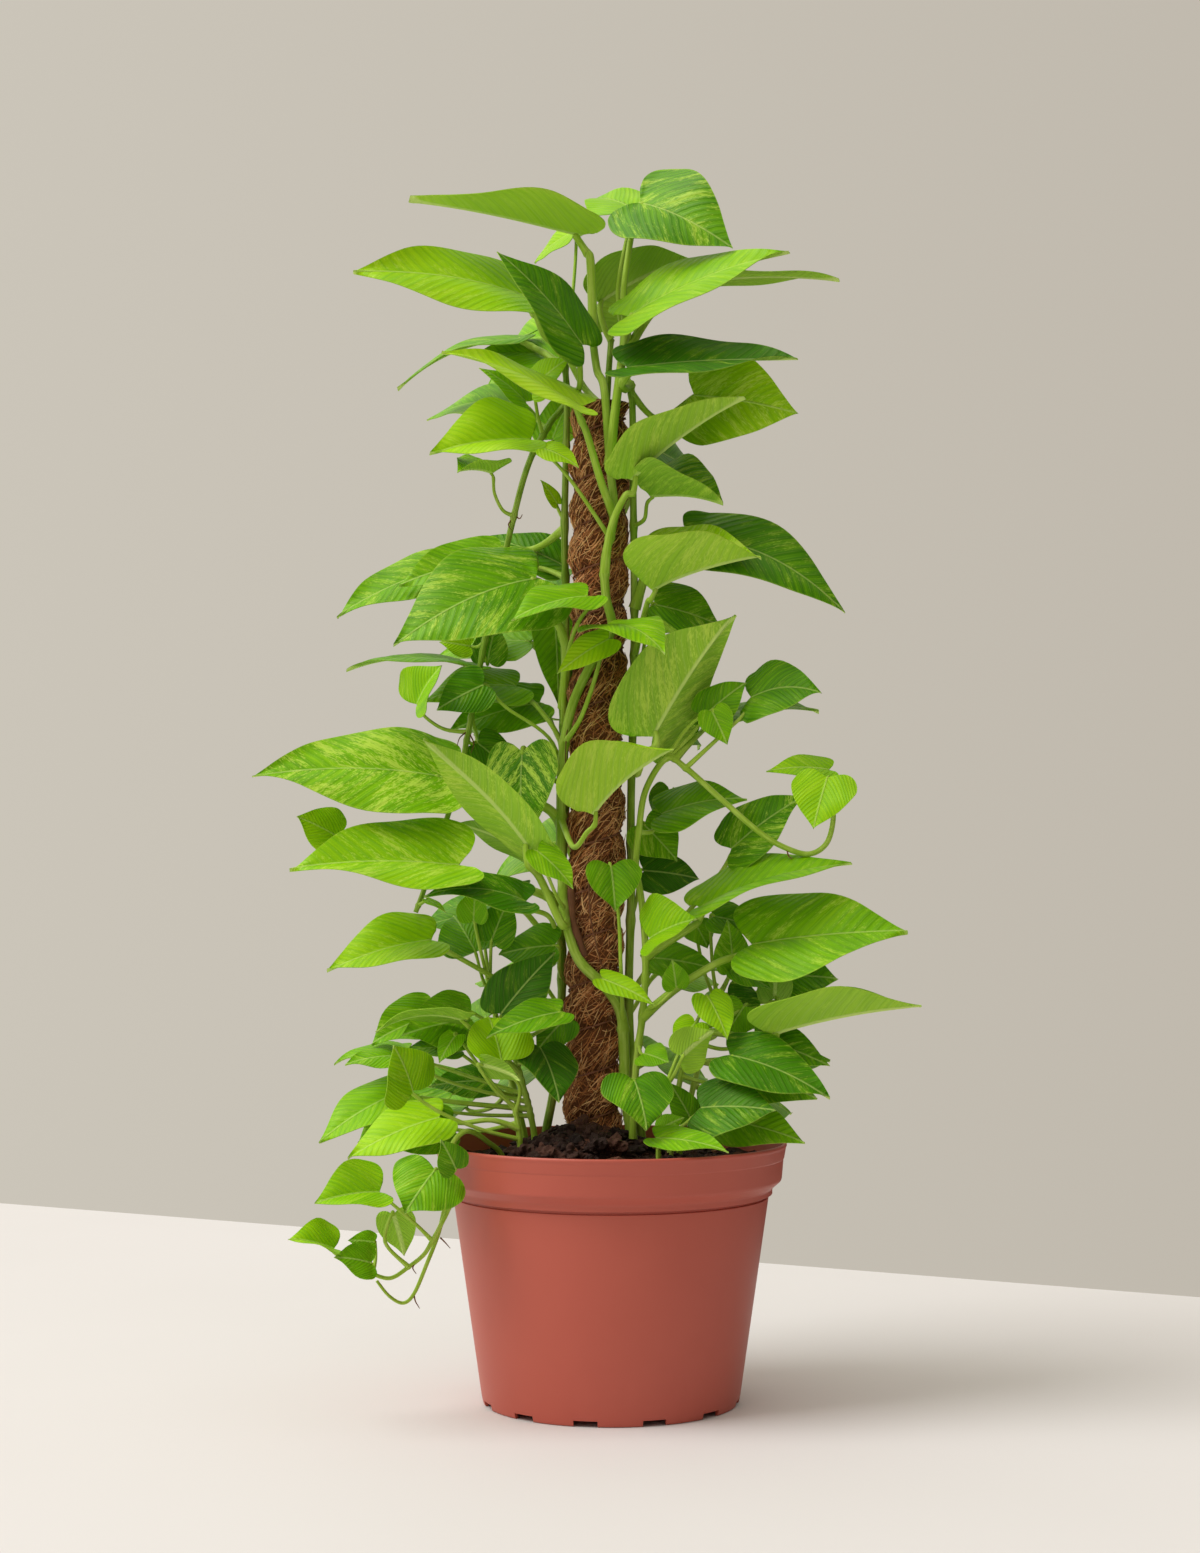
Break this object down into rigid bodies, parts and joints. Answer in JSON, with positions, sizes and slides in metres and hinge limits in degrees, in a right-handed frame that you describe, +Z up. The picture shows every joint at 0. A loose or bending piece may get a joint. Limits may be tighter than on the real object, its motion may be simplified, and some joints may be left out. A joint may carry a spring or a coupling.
{
  "type": "potted variegated pothos on a coir pole",
  "caption": "Climbing pothos with marbled heart-shaped leaves on a twine-bound coir pole, in a round tapered plastic nursery pot of dark potting mix, with vines arching and trailing.",
  "frame": {"origin": "centre of the pot's base, on the ground", "axes": "+Z up along the pot's axis, -Y towards the front of the plant, +X to its right"},
  "size_m": [0.4693, 0.3009, 0.8892],
  "materials": {
    "pot_plastic": "satin terracotta coloured plastic",
    "potting_mix": "crumbly dark potting mix",
    "stake_wood": "plain round wood",
    "coir": "matted brown coir fibre",
    "twine": "thin twine",
    "foliage": "satin green leaf with lime and yellow marbling"
  },
  "bodies": {
    "root": {"pot": "pot_plastic", "soil": "potting_mix", "pole_stake": "stake_wood", "pole_coir": "coir", "pole_twine": "twine", "shoot_back": "foliage", "shoot_left_back": "foliage", "shoot_left_front": "foliage", "shoot_left_mid": "foliage", "shoot_right_back": "foliage", "shoot_right_front": "foliage", "shoot_right_mid": "foliage", "vine_arching": "foliage", "vine_back": "foliage", "vine_front": "foliage", "vine_hanging": "foliage", "vine_left": "foliage", "vine_right": "foliage", "vine_trailing": "foliage"}
  },
  "joints": []
}
